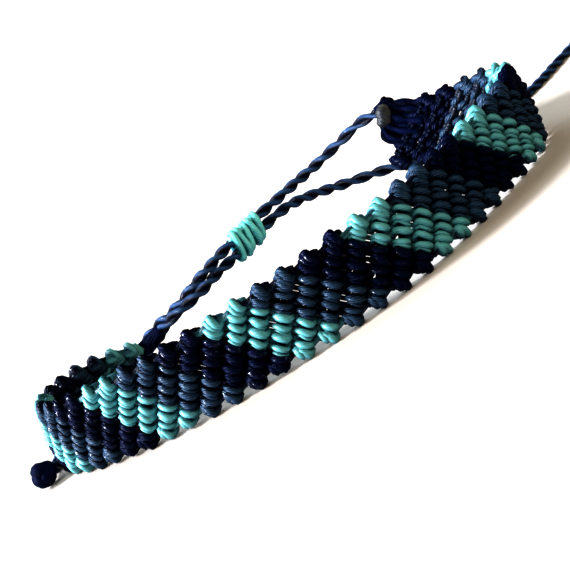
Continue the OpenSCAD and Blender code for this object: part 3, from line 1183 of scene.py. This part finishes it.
# Studio
@dataclass
class Studio:
    """The floor, the lights and the camera, in millimetres; the focal length and the picture in pixels."""

    look_at: Triple = (-1.035, 16.864, 0.60)
    distance: float = 140.0
    elevation: float = 12.0
    roll: float = 35.7
    focal: float = 1000.0
    picture: float = 570.0
    sensor: float = 36.0
    floor_half: float = 2000.0

    def camera(self) -> Object:
        """Places the camera, low and turned about its own axis.

        Returns:
            The camera.
        """
        e, r = math.radians(self.elevation), math.radians(self.roll)
        right, up = np.array([1, 0, 0]), np.array([0, math.sin(e), math.cos(e)])
        ahead = np.array([0, math.cos(e), -math.sin(e)])
        x, y = math.cos(r) * right - math.sin(r) * up, math.sin(r) * right + math.cos(r) * up
        at = (np.array(self.look_at) - ahead * self.distance) * MM
        data = bpy.data.cameras.new("camera")
        data.sensor_width = self.sensor
        data.lens = self.focal / self.picture * self.sensor
        data.clip_start = 0.005
        obj = bpy.data.objects.new("camera", data)
        place = np.eye(4)
        place[:3, 0], place[:3, 1], place[:3, 2], place[:3, 3] = x, y, -ahead, at
        obj.matrix_world = Matrix(place.tolist())
        bpy.context.scene.collection.objects.link(obj)
        bpy.context.scene.camera = obj
        return obj

    def light(self, name: str, away: Triple, spread: float, power: float,
              colour: Triple, mirrored: bool) -> None:
        """Adds one soft light from far away.

        Args:
            name: Its name.
            away: Direction towards it.
            spread: How wide it looks from the object, in degrees.
            power: Its power on a face turned to it, in watts a square metre.
            colour: Its colour.
            mirrored: Whether glossy surfaces mirror it.
        """
        data = bpy.data.lights.new(name, "SUN")
        data.angle = math.radians(spread)
        data.energy = power
        data.color = colour
        obj = bpy.data.objects.new(name, data)
        obj.matrix_world = Vector(away).to_track_quat("Z", "Y").to_matrix().to_4x4()
        obj.visible_glossy = mirrored
        bpy.context.scene.collection.objects.link(obj)

    def floor(self) -> None:
        """Adds the pale floor, 4 m across, as stage. It throws less light back than it shows."""
        mesh = bpy.data.meshes.new("floor")
        h = self.floor_half * MM
        mesh.from_pydata([(-h, -h, 0), (h, -h, 0), (h, h, 0), (-h, h, 0)], [], [(0, 1, 2, 3)])
        material = bpy.data.materials.new("pale_floor")
        material.use_nodes = True
        tree = material.node_tree
        direct = add_node(tree, "LightPath", {}).outputs["Is Camera Ray"]
        tone = add_node(tree, "Mix", {0: direct, 6: (0.12, 0.12, 0.13, 1), 7: (0.6, 0.56, 0.52, 1)},
                        data_type="RGBA")
        fill(tree.nodes["Principled BSDF"], {"Base Color": tone.outputs[2], "Roughness": 0.7})
        mesh.materials.append(material)
        obj = bpy.data.objects.new("floor", mesh)
        bpy.context.scene.collection.objects.link(obj)

    def world(self) -> None:
        """Sets the pale surroundings: white where they are seen, softer and warmer as light."""
        world = bpy.data.worlds.new("surroundings")
        world.use_nodes = True
        tree = world.node_tree
        back = fill(tree.nodes["Background"], {0: (1.0, 0.77, 0.4, 1), 1: 0.28})
        seen = add_node(tree, "Background", {1: 1.3})
        direct = add_node(tree, "LightPath", {}).outputs["Is Camera Ray"]
        mix = add_node(tree, "MixShader", {0: direct, 1: back.outputs[0], 2: seen.outputs[0]})
        fill(tree.nodes["World Output"], {0: mix.outputs[0]})
        world.cycles_visibility.glossy = False
        bpy.context.scene.world = world

    def build(self) -> None:
        """Makes the floor, the lights and the surroundings."""
        self.floor()
        self.light("key", (-0.80, 0.06, 0.60), 10, 5.4, (0.97, 1.0, 1.08), True)
        self.light("side", (-0.96, -0.2, 0.2), 22, 4.6, (1.0, 1.0, 1.04), True)
        self.light("back", (-0.3, 0.7, 0.65), 60, 3.0, (0.85, 1.0, 1.15), False)
        self.light("front", (-0.35, -0.75, 0.6), 40, 1.2, (0.97, 0.99, 1.0), False)
        self.light("fill", (0.75, -0.45, 0.42), 60, 1.2, (1.15, 0.92, 0.65), False)
        self.world()
        bpy.context.scene.view_settings.view_transform = "Standard"
        bpy.context.scene.view_settings.gamma = 0.7
        log.info("studio: five soft lights over a pale floor")


def main() -> None:
    """Builds the bracelet and its studio in order."""
    logging.basicConfig(level=logging.INFO, format="%(name)s: %(message)s")
    studio = Studio()
    studio.camera()
    effects = Effects()
    loop = Loop()
    finishes = {colour: finish.material(effects) for colour, finish in FINISHES.items()}
    closing = CLOSING_FINISH.material(effects)

    total = loop.rib_total
    far = Gather("gather_far", "strands", "dark_cord", loop, FAR_ROUTE[0], edge=total, foot=total - 0.3,
                 face=1, tie_at=(total - 2.9, 1.01), low=0.3, high=0.88, bulge=1.2)
    near = Gather("gather_near", "strands", "dark_cord", loop, NEAR_ROUTE[0], edge=0,
                  foot=loop.rib_knots + 0.2, face=-1, tie_at=(-0.75, 0.87), low=0.08, high=0.7, lumps=0.1)
    far_line = np.vstack([far.exit, FAR_ROUTE, through_knot(1)[::-1], FAR_TAIL])
    near_line = np.vstack([near.exit, NEAR_ROUTE, through_knot(-1), NEAR_TAIL])
    bundle = BUNDLE_FINISH.material(effects)
    knob = far.tie + np.array([0.65, 0, 0.6]) * MM
    ends = far.exit + np.array([-0.1, -1.9, -0.64]) * MM
    for piece in (Stopper("stopper_far", "knot", "dark_cord", far_line),
                  Stopper("stopper_near", "knot", "dark_cord", near_line),
                  far, near,
                  Lump(far.node, "knob", "dark_cord", knob, (-0.8, 0.3, 0.5), length=2.0, width=1.4)):
        piece.build(bundle)
    sealed = Lump(far.node, "sealed_ends", "dark_cord", ends, (-0.18, 0, -1.0), length=3.1, width=2.3)
    sealed.build(SEALED_FINISH.material(effects))
    SlidingKnot("sliding_knot", "wraps", "light_cord").build(KNOT_FINISH.material(effects))
    with_far = ("gather_far_strands", "stopper_far_knot", "sliding_knot_wraps")
    with_near = ("gather_near_strands", "stopper_near_knot")
    ClosingCord("cord_far", "plies", "closing_cord", far_line, with_far).build(closing)
    ClosingCord("cord_near", "plies", "closing_cord", near_line, with_near).build(closing)

    rng = np.random.default_rng(11)
    for colour in Colour:
        Band("band", colour.name.lower(), SLOTS[colour], loop, colour, rng).build(finishes[colour])
    studio.build()


if __name__ == "__main__":
    main()
